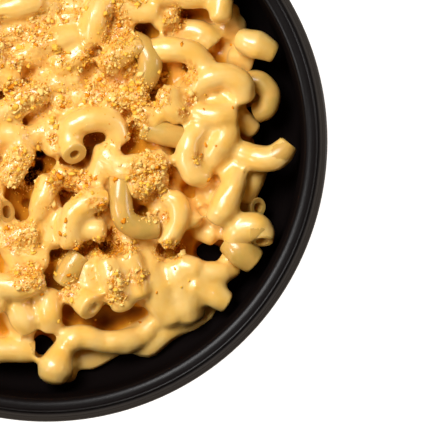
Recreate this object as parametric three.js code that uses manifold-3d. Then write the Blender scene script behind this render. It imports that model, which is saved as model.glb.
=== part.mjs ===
// Macaroni and cheese in a round black take-out bowl.
// Millimetres, +Z up. The origin is the middle of the bowl's foot, on the surface that it stands on.

import * as THREE from 'three';
import { mergeVertices } from 'three/addons/utils/BufferGeometryUtils.js';
import Module from 'manifold-3d';

// ---- driving dimensions -------------------------------------------------------------------

const RIM_RADIUS = 92; // outer edge of the bowl's rolled rim
const BOWL_HEIGHT = 40;
const BOWL_SEGMENTS = 44;
const WALL = 1.2;
const FLOOR_TOP = 2.2; // inside face of the bowl's floor
const FOOT_INNER = 59;
const FOOT_OUTER = 69;
const FOOT_RECESS = 1;
const CORNER_RADIUS = 6; // inside, between the floor and the wall
const WALL_RADIUS_LOW = 81; // inside, where the wall leaves the corner
const WALL_RADIUS_HIGH = 82.6; // inside, where the wall meets the rim's shoulder
const SHOULDER_HEIGHT = 36;
const SKIRT_DEPTH = 4; // how far the rim's edge turns down

const CLEARANCE = 0.3; // between the food and the bowl
const ELBOW_SIDES = 6;
const BACKED_ELBOW_SIDES = 5; // on the elbows that hardly show
const BENT_STEPS = 4;
const STRAIGHT_STEPS = 3;
const STRAIGHT_LIMIT = 32; // degrees of bend, up to which an elbow needs only the fewer steps
const BORE_RADIUS = 2.3;
const BORE_FROM = 0.78; // of the elbow's length: the hole is modelled from here to the far end
const BORE_TO = 1.04;

const HEAP_TOP = 20.6; // height of the upper elbows' centre lines in the middle
const HEAP_FALL = 11.5; // how far they drop between the flat top and the wall
const HEAP_FLAT_RADIUS = 38;
const HEAP_RADIUS = 76;
const PUDDLE_RADIUS = 74.5;
const PUDDLE_RUN = 3.5; // how much further the sauce has run on its far side
const PUDDLE_RUN_TOWARDS = -1.75; // radians
const PUDDLE_NOTCH = 5; // how much less it has run towards +X
const PUDDLE_NOTCH_WIDTH = 0.66; // radians
const CORE_SEGMENTS = 24;

const WINDOW_LEFT = -15.2; // the elbows listed below lie right of this line
const WINDOW_TOP = 46; // and below this one
const WINDOW_MARGIN = 4;
const STREWN_COUNT = 24;
const STREWN_SPACING = 14;
const LOW_COUNT = 8;

const CLUMP_COUNT = 28;
const CLUMP_RADIUS = 2.6;
const CLUMP_HEIGHT = 1.6;
const CLUMP_SINK = 0.4;
const CLUMP_LEAN = 0.7; // radians that a clump may sit off the top of its elbow

// ---- solids -------------------------------------------------------------------------------

const wasm = await Module();
wasm.setup();

function toSolid(geometry) {
  geometry.deleteAttribute('normal');
  geometry.deleteAttribute('uv');
  const welded = mergeVertices(geometry, 1e-4);
  const corners = welded.index.array;
  const kept = [];
  for (let i = 0; i < corners.length; i += 3) {
    const [a, b, c] = corners.slice(i, i + 3);
    if (a !== b && b !== c && c !== a) kept.push(a, b, c);
  }
  const mesh = new wasm.Mesh({
    numProp: 3,
    vertProperties: new Float32Array(welded.attributes.position.array),
    triVerts: new Uint32Array(kept),
  });
  return new wasm.Manifold(mesh);
}

function toGeometry(solid) {
  const mesh = solid.getMesh();
  const geometry = new THREE.BufferGeometry();
  geometry.setAttribute('position', new THREE.BufferAttribute(mesh.vertProperties, 3));
  geometry.setIndex(new THREE.BufferAttribute(mesh.triVerts, 1));
  geometry.computeVertexNormals();
  return geometry;
}

// Joins the pieces, and keeps the outer skin alone: sealed hollows are filled, loose scraps go.
function fuse(solids) {
  const parts = wasm.Manifold.union(solids).decompose();
  return parts.reduce((largest, part) => (part.volume() > largest.volume() ? part : largest));
}

function arc(centreX, centreY, radius, fromDegrees, toDegrees, count) {
  const points = [];
  for (let i = 0; i <= count; i++) {
    const angle = THREE.MathUtils.degToRad(fromDegrees + ((toDegrees - fromDegrees) * i) / count);
    points.push([centreX + radius * Math.cos(angle), centreY + radius * Math.sin(angle)]);
  }
  return points;
}

// ---- bowl ---------------------------------------------------------------------------------

// One thin wall, turned about the axis: foot, flat floor, round corner, steep side, a rounded
// shoulder, a bead with a groove outside it, and an edge that turns down as a skirt.
function makeBowl() {
  const cornerX = WALL_RADIUS_LOW - CORNER_RADIUS;
  const cornerZ = FLOOR_TOP + CORNER_RADIUS;
  const top = BOWL_HEIGHT;
  const skirt = top - SKIRT_DEPTH;
  const outside = [
    [0, FOOT_RECESS],
    [FOOT_INNER, FOOT_RECESS],
    [FOOT_INNER + 1, 0],
    [FOOT_OUTER, 0],
    ...arc(cornerX, cornerZ, CORNER_RADIUS + WALL, -78, 0, 3),
    [WALL_RADIUS_HIGH + WALL, SHOULDER_HEIGHT - 0.6],
    [RIM_RADIUS - 5.5, top - 2.1],
    [RIM_RADIUS - 1, top - 1.9],
    [RIM_RADIUS - 0.9, skirt],
  ];
  const rim = [
    [RIM_RADIUS, skirt],
    [RIM_RADIUS, top - 1],
    [RIM_RADIUS - 2.3, top - 0.5],
    [RIM_RADIUS - 2.7, top - 0.8],
    [RIM_RADIUS - 3.5, top],
    [RIM_RADIUS - 4.6, top - 0.4],
    [RIM_RADIUS - 7.2, top - 1.1],
  ];
  const inside = [
    [WALL_RADIUS_HIGH, SHOULDER_HEIGHT],
    ...arc(cornerX, cornerZ, CORNER_RADIUS, 0, -90, 4),
    [0, FLOOR_TOP],
  ];
  const profile = [...outside, ...rim, ...inside].map(([r, z]) => new THREE.Vector2(r, z));
  const geometry = new THREE.LatheGeometry(profile, BOWL_SEGMENTS);
  geometry.rotateX(Math.PI / 2);
  return toGeometry(toSolid(geometry));
}

// ---- one elbow of macaroni ----------------------------------------------------------------

// The elbow's centre line runs from one end to the other along an arc that turns by `bend`
// degrees, bulging left of the way it goes, or right where bend is negative. `arch` lifts its
// middle.
class ElbowLine extends THREE.Curve {
  constructor(start, end, bend, arch) {
    super();
    this.start = start;
    this.end = end;
    this.bend = THREE.MathUtils.degToRad(Math.abs(bend) < 1 ? 1 : bend);
    this.arch = arch;
  }

  getPoint(t) {
    const across = this.end.clone().sub(this.start).setZ(0);
    const chord = across.length();
    const heading = Math.atan2(across.y, across.x) + this.bend / 2;
    const radius = chord / (2 * Math.sin(this.bend / 2));
    const turned = heading - this.bend * t;
    return new THREE.Vector3(
      this.start.x + radius * (Math.sin(heading) - Math.sin(turned)),
      this.start.y - radius * (Math.cos(heading) - Math.cos(turned)),
      THREE.MathUtils.lerp(this.start.z, this.end.z, t) + 4 * this.arch * t * (1 - t),
    );
  }
}

// A straight prism of unit radius and length, bent along the line. Its end faces shrink to
// `endScale`, which rounds an end that is heavy with sauce.
function bentPrism(line, radius, sides, steps, from, to, endScale) {
  const ring = [];
  for (let i = 0; i < sides; i++) {
    const angle = (2 * Math.PI * (i + 0.5)) / sides;
    ring.push(new THREE.Vector2(Math.cos(angle), Math.sin(angle)));
  }
  const prism = new THREE.ExtrudeGeometry(new THREE.Shape(ring), { depth: 1, steps, bevelEnabled: false });
  const position = prism.attributes.position;
  const up = new THREE.Vector3(0, 0, 1);
  for (let i = 0; i < position.count; i++) {
    const along = 0.5 - 0.5 * Math.cos(Math.PI * position.getZ(i));
    const t = from + (to - from) * along;
    const isEnd = along < 0.01 || along > 0.99;
    const tangent = line.getTangent(THREE.MathUtils.clamp(t, 0.01, 0.99));
    const side = up.clone().cross(tangent).normalize();
    const above = tangent.clone().cross(side);
    const scale = radius * (isEnd ? endScale : 1);
    const point = line.getPoint(t);
    point.addScaledVector(side, scale * position.getX(i));
    point.addScaledVector(above, scale * position.getY(i));
    position.setXYZ(i, point.x, point.y, point.z);
  }
  return toSolid(prism);
}

// What an elbow looks like from outside: C is coated in sauce with rounded ends, B is bare with
// cut ends, and O shows the hole in its far end.
const KINDS = {
  C: { radius: 4.3, endScale: 0.72 },
  B: { radius: 3.9, endScale: 0.97 },
  O: { radius: 4.1, endScale: 0.97 },
};

function elbowLine([x1, y1, z1, x2, y2, z2, bend, arch]) {
  return new ElbowLine(new THREE.Vector3(x1, y1, z1), new THREE.Vector3(x2, y2, z2), bend, arch);
}

function makeElbow(row, sides = ELBOW_SIDES) {
  const [bend, , kind] = row.slice(6);
  const { radius, endScale } = KINDS[kind];
  const line = elbowLine(row);
  const steps = Math.abs(bend) > STRAIGHT_LIMIT ? BENT_STEPS : STRAIGHT_STEPS;
  const tube = bentPrism(line, radius, sides, steps, 0, 1, endScale);
  if (kind !== 'O') return tube;
  const bore = bentPrism(line, BORE_RADIUS, ELBOW_SIDES, 1, BORE_FROM, BORE_TO, 1);
  return tube.subtract(bore);
}

// ---- the elbows that lie on top -----------------------------------------------------------

// Each row: x, y, z of one end, x, y, z of the other, bend, arch, kind.
const rightSide = [
  [38, 47, 19.5, 57.2, 42, 17.5, 105, 1, 'C'],
  [59.8, 45, 13, 57.8, 34.5, 13, -20, 0, 'C'],
  [60, 46, 8, 64.6, 40.5, 8, 30, 0, 'B'],
  [62.1, 33, 17, 73.2, 28.6, 17.5, 15, 0, 'B'],
  [56, 27.5, 12, 66.2, 26.3, 10.5, 15, 0, 'O'],
  [45.5, 36.7, 18, 57.3, 30.8, 21, 60, 0, 'O'],
  [33, 28.7, 20, 52.5, 23, 19, 85, 1.5, 'C'],
  [51.3, 17.5, 20, 64.5, 11.5, 17, 180, 1, 'C'],
  [67, 20.3, 12, 70.6, 8.6, 10, 150, 0, 'B'],
  [63.5, 10, 9, 68.4, 4.2, 8, 0, 0, 'O'],
  [62.3, -3.8, 17, 79.2, -1.8, 20, -62, 0, 'C'],
  [49.5, 6, 20.5, 52.5, -12, 18, -110, 1.5, 'C'],
  [60, 5, 19, 53.5, -7, 17, 50, 0, 'C'],
  [52, 7.8, 21, 61, 8, 19, 15, 0, 'C'],
  [57, -11.5, 14, 62, -7.5, 14, 20, 0, 'C'],
  [62.6, -12, 18, 55.8, -26.3, 17, 18, 1.5, 'C'],
  [60.7, -32, 15.5, 70.5, -32.8, 14, 165, 1, 'O'],
  [60.3, -33.8, 12.5, 68.2, -39, 11.5, -45, 0, 'B'],
  [64, -21.5, 7.5, 69.2, -21.7, 10, 0, 0, 'O'],
  [70.5, -6.5, 12, 66, -17.5, 10, 15, 0, 'B'],
  [55.5, -25, 11.5, 53, -31, 10, 0, 0, 'C'],
  [44.5, -20, 14, 48.8, -28, 13, 10, 0, 'C'],
  [44.5, -38.5, 12, 60.8, -42.8, 9.5, -20, 0, 'B'],
  [49.5, -47, 12, 59.2, -53.4, 10, 10, 0, 'B'],
];
const middle = [
  [29.5, 32.5, 21, 33.2, 20.5, 19, 70, 1, 'B'],
  [19.8, 24.8, 23, 30.2, 32.2, 23, 40, 1, 'C'],
  [20.5, 46, 20.5, 15.5, 32.5, 21, -35, 1, 'C'],
  [23, 41.5, 19, 35, 44, 18.5, 10, 0, 'C'],
  [37, 41, 17, 44, 44, 15, 0, 0, 'C'],
  [24.5, 6.3, 21, 8.8, -3.2, 23.5, -130, 1, 'O'],
  [1, 7, 19, 2.5, -2.5, 18, 10, 0, 'C'],
  [29.5, 8, 21, 44, 3, 19, -40, 0, 'B'],
  [40.3, 16.5, 22, 43.5, 7.8, 20, -60, 0, 'C'],
  [48.5, 20.5, 17, 44.5, 13, 17, 10, 0, 'C'],
  [20.5, 14, 20.5, 31, 15.5, 20.5, 20, 0, 'C'],
  [22.5, -9, 22, 38, -5.5, 22, 35, 1, 'C'],
  [28.5, -15.5, 20.5, 37, -10.5, 20.5, -20, 0, 'C'],
  [8.2, -33.5, 20, 19, -18.7, 21, 105, 1, 'C'],
  [13.5, -29, 18, 18.8, -29.8, 16, 0, 0, 'C'],
  [23.7, -13.5, 21, 35, -28.5, 17.5, -100, 0, 'B'],
  [39.8, -18.2, 18, 38.6, -31.5, 16, 105, 1, 'C'],
  [19, -3, 19, 15.5, -12.5, 18, 0, 0, 'C'],
  [2, -11, 16, 13, -13, 16, 10, 0, 'C'],
  [0.5, -12.5, 19, -3, -23, 17, 0, 0, 'C'],
];
const leftSide = [
  [-20, 43, 22, -3, 45.5, 22, -25, 1, 'C'],
  [-14, 34.8, 20, 0, 44.5, 19, -45, 0, 'C'],
  [-4.5, 31.5, 21, 9, 34, 21, 10, 1, 'C'],
  [3.5, 24.5, 20.5, 12, 29.5, 20.5, 0, 0, 'C'],
  [5, 38.5, 19, 12, 40.5, 18, 0, 0, 'C'],
  [-11, 27.5, 19, -1.5, 29, 19, 10, 0, 'C'],
  [-18, 25, 21, -11.5, 20, 20.5, 20, 0, 'C'],
  [-14, 9.5, 21, -2.5, 16.3, 21, 20, 1, 'C'],
  [0, 17.5, 18, 9, 21.5, 18, 0, 0, 'C'],
  [7, 13.5, 17, 16, 16, 17, 10, 0, 'C'],
  [-6.8, -3.8, 21, -12.8, -12, 20.5, 0, 0, 'C'],
  [-19, 4, 20, -9, 1, 20, 10, 0, 'C'],
  [-20, -25, 13, -13.4, -23.5, 16, 0, 0, 'O'],
  [-14, -33.5, 16, -5, -29.2, 17, 10, 0, 'C'],
  [-10.5, -36.5, 17, -1.5, -40.3, 16, 10, 0, 'C'],
  [-17, -49.5, 19, -1.5, -43.8, 18, -55, 1, 'C'],
];
const frontEdge = [
  [27, -38, 17, 30.5, -50, 15, 0, 0, 'C'],
  [32.5, -49, 13, 48, -58.3, 10, -90, 1, 'C'],
  [36, -41.5, 16, 46, -51.5, 12.5, 20, 0, 'C'],
  [20.3, -40.5, 18, 24.2, -51.5, 16, 15, 1, 'C'],
  [11, -37.5, 16, 4, -46, 15, 0, 0, 'C'],
  [9.5, -49.5, 15, 15.4, -55.6, 17, 15, 0, 'C'],
  [-1, -49, 15, 1.2, -60, 12, 0, 0, 'C'],
  [-11, -56, 15, -5.6, -62, 13, 30, 0, 'B'],
  [-20, -69, 9, -6, -69.3, 8.5, 0, 0, 'B'],
  [4.3, -73.5, 10, 19, -65.5, 11, 105, 0, 'C'],
  [7, -74, 10, 1.8, -75.8, 12, 0, 0, 'C'],
  [18.5, -65.8, 11, 36.5, -66.5, 8.5, -10, 0, 'C'],
];
// These carry the ones above, and show only between them and from the side.
const underneath = [
  [45, 31, 14, 57, 35, 13, 10, 0, 'C'],
  [48, 46, 10.5, 57, 38, 9, 10, 0, 'C'],
  [56, 29.5, 9.5, 69, 32, 11, 0, 0, 'C'],
  [60, 14, 10, 68, 20, 8.5, 0, 0, 'C'],
  [60, -29, 9.5, 66, -36, 8, 0, 0, 'C'],
];

// ---- the rest of the heap -----------------------------------------------------------------

let seed = 11;
function random() {
  seed = (seed * 16807) % 2147483647;
  return seed / 2147483647;
}

function between(low, high) {
  return low + (high - low) * random();
}

// Height of the upper elbows' centre lines: highest in the middle, low against the wall.
function layerHeight(radius) {
  return HEAP_TOP - HEAP_FALL * THREE.MathUtils.smoothstep(radius, HEAP_FLAT_RADIUS, HEAP_RADIUS);
}

// Elbows strewn at random, none near another, over the part of the heap that the rows leave free.
function strewnElbows() {
  const rows = [];
  const centres = [];
  while (rows.length < STREWN_COUNT) {
    const reach = (HEAP_RADIUS - 5) * Math.sqrt(random());
    const angle = between(0, 2 * Math.PI);
    const heading = between(0, 2 * Math.PI);
    const half = between(7, 9.5);
    const bend = (random() < 0.5 ? -1 : 1) * between(55, 115);
    const tilt = between(-1.5, 1.5);
    const centre = new THREE.Vector2(reach * Math.cos(angle), reach * Math.sin(angle));
    const isListed = centre.x > WINDOW_LEFT - WINDOW_MARGIN && centre.y < WINDOW_TOP + WINDOW_MARGIN;
    if (isListed || centres.some((other) => other.distanceTo(centre) < STREWN_SPACING)) continue;
    const step = new THREE.Vector2(half * Math.cos(heading), half * Math.sin(heading));
    const start = centre.clone().sub(step).clampLength(0, HEAP_RADIUS - 2);
    const end = centre.clone().add(step).clampLength(0, HEAP_RADIUS - 2);
    const z = layerHeight(reach) + between(-1, 1);
    const kind = random() < 0.25 ? 'O' : 'C';
    centres.push(centre);
    rows.push([start.x, start.y, z - tilt, end.x, end.y, z + tilt, bend, 1, kind]);
  }
  return rows;
}

// How far the sauce has run out from the middle, in each direction.
function puddleRadius(angle) {
  const run = PUDDLE_RUN * Math.cos(angle - PUDDLE_RUN_TOWARDS);
  const fromX = Math.atan2(Math.sin(angle), Math.cos(angle));
  return PUDDLE_RADIUS + run - PUDDLE_NOTCH * Math.exp(-((fromX / PUDDLE_NOTCH_WIDTH) ** 2));
}

// Elbows that lie on the floor round the foot of the heap.
function lowElbows() {
  const rows = [];
  for (let i = 0; i < LOW_COUNT; i++) {
    const angle = (2 * Math.PI * (i + between(0, 0.4))) / LOW_COUNT;
    const turn = between(0.11, 0.14);
    const reach = puddleRadius(angle) - 5.5;
    const point = (a, r) => [r * Math.cos(a), r * Math.sin(a), between(7, 8)];
    rows.push([...point(angle - turn, reach - 2), ...point(angle + turn, reach), 40, 0, 'C']);
  }
  return rows;
}

// Sauce and buried elbows: a mound, and at its foot the puddle on the floor of the bowl. Its
// profile is in shares of the puddle's radius, which differs from side to side.
function makeCore() {
  const floor = FLOOR_TOP + CLEARANCE;
  const profile = [
    [0, floor],
    [0.975, floor],
    [1, floor + 1.8],
    [0.985, floor + 3.2],
    [0.94, floor + 4.5],
    [0.84, 11],
    [0.68, 15],
    [0.45, 17.3],
    [0, 18.2],
  ].map(([r, z]) => new THREE.Vector2(r, z));
  const mound = new THREE.LatheGeometry(profile, CORE_SEGMENTS);
  mound.rotateX(Math.PI / 2);
  const position = mound.attributes.position;
  for (let i = 0; i < position.count; i++) {
    const x = position.getX(i);
    const y = position.getY(i);
    const reach = puddleRadius(Math.atan2(y, x));
    position.setX(i, x * reach);
    position.setY(i, y * reach);
  }
  return toSolid(mound);
}

// Gaps between the elbows that reach down through the sauce, two of them to the bowl's floor:
// x, y, radius, height of the bottom.
const gaps = [
  [53.6, -36.6, 3.4, -1],
  [-2, -67.3, 3.1, -1],
  [-5.5, -11, 3.2, 8],
  [-7.2, -20.6, 2.2, 8],
  [-7, 21.5, 2.4, 10],
  [1.2, -37, 2.2, 9],
  [30.5, 37.2, 2.4, 9],
  [48, 42, 2.6, 9],
  [42.8, -13.2, 2.4, 10],
  [18, -35, 2.2, 9],
  [14.2, -1.6, 2.2, 11],
  [6.6, -56.3, 2.4, 7],
];

function makeGap([x, y, radius, bottom]) {
  const flare = 1.3;
  const sides = 7;
  const depth = BOWL_HEIGHT - bottom;
  const gap = new THREE.CylinderGeometry(radius * flare, radius, depth, sides);
  gap.rotateX(Math.PI / 2);
  gap.translate(x, y, bottom + depth / 2);
  return toSolid(gap);
}

// A clump of toasted crumbs that clings to the upper side of one of the elbows.
function makeClump(rows) {
  const row = rows[Math.floor(rows.length * random())];
  const line = elbowLine(row);
  const lean = between(-CLUMP_LEAN, CLUMP_LEAN);
  const turn = between(0, 2 * Math.PI);
  const place = line.getPoint(between(0.1, 0.9));
  const away = KINDS.C.radius * Math.sin(lean);
  place.x += away * Math.cos(turn);
  place.y += away * Math.sin(turn);
  place.z += KINDS.C.radius * Math.cos(lean) - CLUMP_SINK;
  const clump = new THREE.OctahedronGeometry(CLUMP_RADIUS);
  clump.scale(between(0.8, 1.3), between(0.6, 1), CLUMP_HEIGHT / CLUMP_RADIUS);
  clump.rotateZ(turn);
  clump.translate(place.x, place.y, place.z);
  return toSolid(clump);
}

function makeHeap() {
  const strewn = strewnElbows();
  const shown = [...rightSide, ...middle, ...leftSide, ...frontEdge];
  const backed = [...underneath, ...strewn, ...lowElbows()];
  const crumbed = [...middle, ...leftSide, ...strewn];
  const pierced = gaps.reduce((core, gap) => core.subtract(makeGap(gap)), makeCore());
  const pieces = [
    pierced,
    ...shown.map((row) => makeElbow(row)),
    ...backed.map((row) => makeElbow(row, BACKED_ELBOW_SIDES)),
    ...Array.from({ length: CLUMP_COUNT }, () => makeClump(crumbed)),
  ];
  return toGeometry(fuse(pieces));
}

// ---- assembly -----------------------------------------------------------------------------

const polypropylene = new THREE.MeshStandardMaterial({ color: 0x151416, roughness: 0.35, metalness: 0 });
const cheeseSauce = new THREE.MeshStandardMaterial({ color: 0xe9b867, roughness: 0.32, metalness: 0 });

function named(name, geometry, material) {
  const mesh = new THREE.Mesh(geometry, material);
  mesh.name = name;
  return mesh;
}

const group = new THREE.Group();
group.add(named('bowl', makeBowl(), polypropylene));
group.add(named('macaroni_heap', makeHeap(), cheeseSauce));

export default group;
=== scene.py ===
import math

import bpy
import numpy as np
from mathutils import Euler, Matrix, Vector, noise
from mathutils.bvhtree import BVHTree


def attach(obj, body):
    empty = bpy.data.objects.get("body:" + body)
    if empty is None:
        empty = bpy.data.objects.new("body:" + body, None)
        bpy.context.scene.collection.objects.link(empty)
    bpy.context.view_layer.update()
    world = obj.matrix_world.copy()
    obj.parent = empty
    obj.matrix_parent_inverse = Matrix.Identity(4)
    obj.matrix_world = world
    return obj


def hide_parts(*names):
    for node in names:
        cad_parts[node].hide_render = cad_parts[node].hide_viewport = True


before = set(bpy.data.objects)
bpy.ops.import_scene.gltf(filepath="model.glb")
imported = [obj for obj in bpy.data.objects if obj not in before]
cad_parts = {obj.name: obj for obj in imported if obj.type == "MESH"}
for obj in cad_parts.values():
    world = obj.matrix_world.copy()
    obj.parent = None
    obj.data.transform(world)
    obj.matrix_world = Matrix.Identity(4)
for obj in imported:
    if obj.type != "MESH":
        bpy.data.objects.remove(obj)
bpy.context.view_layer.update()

# ---- Camera ---------------------
# A long lens looks straight down at the right front of the bowl from well above it, so that
# nothing leans outwards in the picture.
VIEW_CENTRE = (0.05416, -0.02330)
VIEW_WIDTH = 0.1387  # of the picture, at the height of the rim
VIEW_DISTANCE = 2.5
RIM_HEIGHT = 0.040
SENSOR = 36.0  # mm

lens = SENSOR * VIEW_DISTANCE / VIEW_WIDTH
bpy.ops.object.camera_add(location=(*VIEW_CENTRE, RIM_HEIGHT + VIEW_DISTANCE), rotation=(0, 0, 0))
camera = bpy.context.object
camera.name = "camera"
camera.data.sensor_width = SENSOR
camera.data.lens = lens
camera.data.clip_end = 100.0
bpy.context.scene.camera = camera


# ---- Bowl -----------------------
# A round take-out bowl, thermoformed from black polypropylene about a millimetre thick. The
# wall was drawn down from the rim in one piece: rounded shoulder, bead, groove, and an edge
# that turns down as a skirt.
MM = 0.001
BOWL_SIDES = 192

# radius and height of each ring in mm, from the middle of the underside to that of the floor
bowl_rings = [
    (30.0, 1.0), (58.2, 1.0), (58.9, 0.8), (59.5, 0.2), (60.2, 0.0), (68.6, 0.0), (70.6, 0.2),
    (75.0, 0.9), (79.8, 1.7), (82.8, 3.8), (84.0, 6.8), (84.4, 9.6), (84.8, 22.0), (85.0, 35.2),
    (85.3, 36.4), (86.0, 37.4), (86.8, 38.0), (88.0, 38.3), (90.2, 38.3), (90.8, 38.0),
    (91.1, 37.3), (91.2, 36.2), (91.4, 36.0), (91.8, 36.0), (92.0, 36.3), (92.0, 38.6),
    (91.7, 39.1), (91.2, 39.4), (90.7, 39.45), (90.5, 39.3), (90.3, 39.5), (89.8, 39.5),
    (89.4, 39.2), (89.1, 39.2), (88.8, 39.7), (88.5, 40.0), (88.2, 39.9), (87.9, 39.6),
    (87.0, 39.6), (86.1, 39.5), (85.3, 39.2), (84.7, 38.7), (84.3, 38.0), (84.1, 37.1),
    (84.0, 36.0), (83.9, 34.0), (83.6, 22.0), (83.2, 9.0), (82.8, 6.6),
    (81.8, 4.6), (80.1, 3.2), (77.6, 2.4), (74.0, 2.2), (40.0, 2.2), (12.0, 2.2),
]


def pick_object(obj):
    bpy.ops.object.select_all(action="DESELECT")
    obj.select_set(True)
    bpy.context.view_layer.objects.active = obj


bpy.ops.object.select_all(action="DESELECT")
first_radius, first_height = bowl_rings[0]
bpy.ops.mesh.primitive_circle_add(
    vertices=BOWL_SIDES, radius=first_radius * MM, fill_type="NGON",
    location=(0, 0, first_height * MM), enter_editmode=False,
)
bowl = bpy.context.object
bowl.name = "bowl_black"
bpy.ops.object.transform_apply(location=True, rotation=True, scale=True)
bpy.ops.object.mode_set(mode="EDIT")
bpy.ops.mesh.select_mode(type="EDGE")
bpy.ops.mesh.select_all(action="SELECT")
bpy.ops.mesh.region_to_loop()
for (r0, z0), (r1, z1) in zip(bowl_rings, bowl_rings[1:]):
    bpy.ops.mesh.extrude_region_move(TRANSFORM_OT_translate={"value": (0, 0, (z1 - z0) * MM)})
    bpy.ops.transform.resize(value=(r1 / r0, r1 / r0, 1), center_override=(0, 0, 0))
bpy.ops.mesh.edge_face_add()
bpy.ops.mesh.select_all(action="SELECT")
bpy.ops.mesh.normals_make_consistent(inside=False)
bpy.ops.object.mode_set(mode="OBJECT")
bpy.ops.object.shade_smooth_by_angle(angle=math.radians(35))


def linear(hex_colour):
    """The colour that an sRGB hex value stands for, as the linear values that a shader takes."""
    parts = [int(hex_colour[i : i + 2], 16) / 255 for i in (1, 3, 5)]
    return (*[c / 12.92 if c <= 0.04045 else ((c + 0.055) / 1.055) ** 2.4 for c in parts], 1.0)


def add_node(tree, kind, settings=None, links=None):
    """Adds a node, with values for its properties or input sockets and what feeds its inputs."""
    node = tree.nodes.new(kind)
    for key, value in (settings or {}).items():
        if isinstance(key, str) and hasattr(node, key):
            setattr(node, key, value)
        else:
            node.inputs[key].default_value = value
    for key, source in (links or {}).items():
        tree.links.new(source, node.inputs[key])
    return node


def new_material(name):
    material = bpy.data.materials.new(name)
    material.use_nodes = True
    material.node_tree.nodes.clear()
    return material, material.node_tree


def noise_over(tree, waves, detail):
    """Noise over the object, with that many waves to the metre."""
    place = add_node(tree, "ShaderNodeTexCoord").outputs["Object"]
    texture = add_node(tree, "ShaderNodeTexNoise", {"Scale": waves, "Detail": detail}, {"Vector": place})
    return texture.outputs["Fac"]


def ramp(tree, source, start, end, low=0.0, high=1.0):
    """Runs from low to high while its source runs from start to end."""
    ends = {"From Min": start, "From Max": end, "To Min": low, "To Max": high}
    return add_node(tree, "ShaderNodeMapRange", ends, {"Value": source}).outputs["Result"]


def mix_colours(tree, share, first, second):
    """The first colour at a share of 0 and the second at 1, each a hex value or an output."""
    values, links = {"data_type": "RGBA"}, {0: share}
    for socket, colour in ((6, first), (7, second)):  # the node's two colour inputs
        if isinstance(colour, str):
            values[socket] = linear(colour)
        else:
            links[socket] = colour
    return add_node(tree, "ShaderNodeMix", values, links).outputs[2]  # its colour output


def wear(obj, material, settings, links=None):
    """Puts the material on the object, with these values and links for its surface."""
    tree = material.node_tree
    skin = add_node(tree, "ShaderNodeBsdfPrincipled", settings, links)
    add_node(tree, "ShaderNodeOutputMaterial", links={"Surface": skin.outputs["BSDF"]})
    obj.data.materials.append(material)


# The mould leaves a fine grain in the plastic and a faint haze, so that its gloss is uneven. The
# inside is deep and dark, the rim has a sheen, and its outermost band is a lighter grey, a painted reflection
# of the white surroundings.
MOULD_GRAIN, HAZE = 900.0, 60.0  # to the metre, so about 1 mm and 17 mm apart
SHEEN_FROM, SHEEN_TO = 0.0844, 0.0856  # metres from the middle, at the shoulder
REFLECTION_BAND_FROM, REFLECTION_BAND_TO = 0.0893, 0.0897

bowl_plastic, tree = new_material("black_polypropylene_thermoformed")
grain = noise_over(tree, MOULD_GRAIN, 4.0)
gloss = ramp(tree, noise_over(tree, HAZE, 3.0), 0.0, 1.0, 0.26, 0.38)
bump = add_node(tree, "ShaderNodeBump", {"Strength": 0.12, "Distance": 0.0002}, {"Height": grain})
place = add_node(tree, "ShaderNodeTexCoord").outputs["Object"]
level = add_node(tree, "ShaderNodeVectorMath", {"operation": "MULTIPLY", 1: (1, 1, 0)}, {0: place})
radius = add_node(tree, "ShaderNodeVectorMath", {"operation": "LENGTH"}, {0: level.outputs["Vector"]})
sheen = ramp(tree, radius.outputs["Value"], SHEEN_FROM, SHEEN_TO, 0.0, 0.18)
# painted reflection: the outermost band is a lighter grey, for the white surroundings it would reflect
painted_reflection = ramp(tree, radius.outputs["Value"], REFLECTION_BAND_FROM, REFLECTION_BAND_TO)
black = mix_colours(tree, painted_reflection, "#100c0c", "#302d2b")
wear(
    bowl, bowl_plastic, {"IOR": 1.49},
    {"Base Color": black, "Roughness": gloss, "Normal": bump.outputs["Normal"], "Specular IOR Level": sheen},
)
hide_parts("bowl")
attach(bowl, "root")


# ---- Elbow macaroni -------------
# Cooked durum-wheat elbows: bent tubes about 8 mm thick with a hole of 4 to 5 mm, cut square
# at both ends. Most are coated in sauce from end to end, some show their cut end, and a few
# are nearly bare. They lie on each other in two or three layers.

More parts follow.
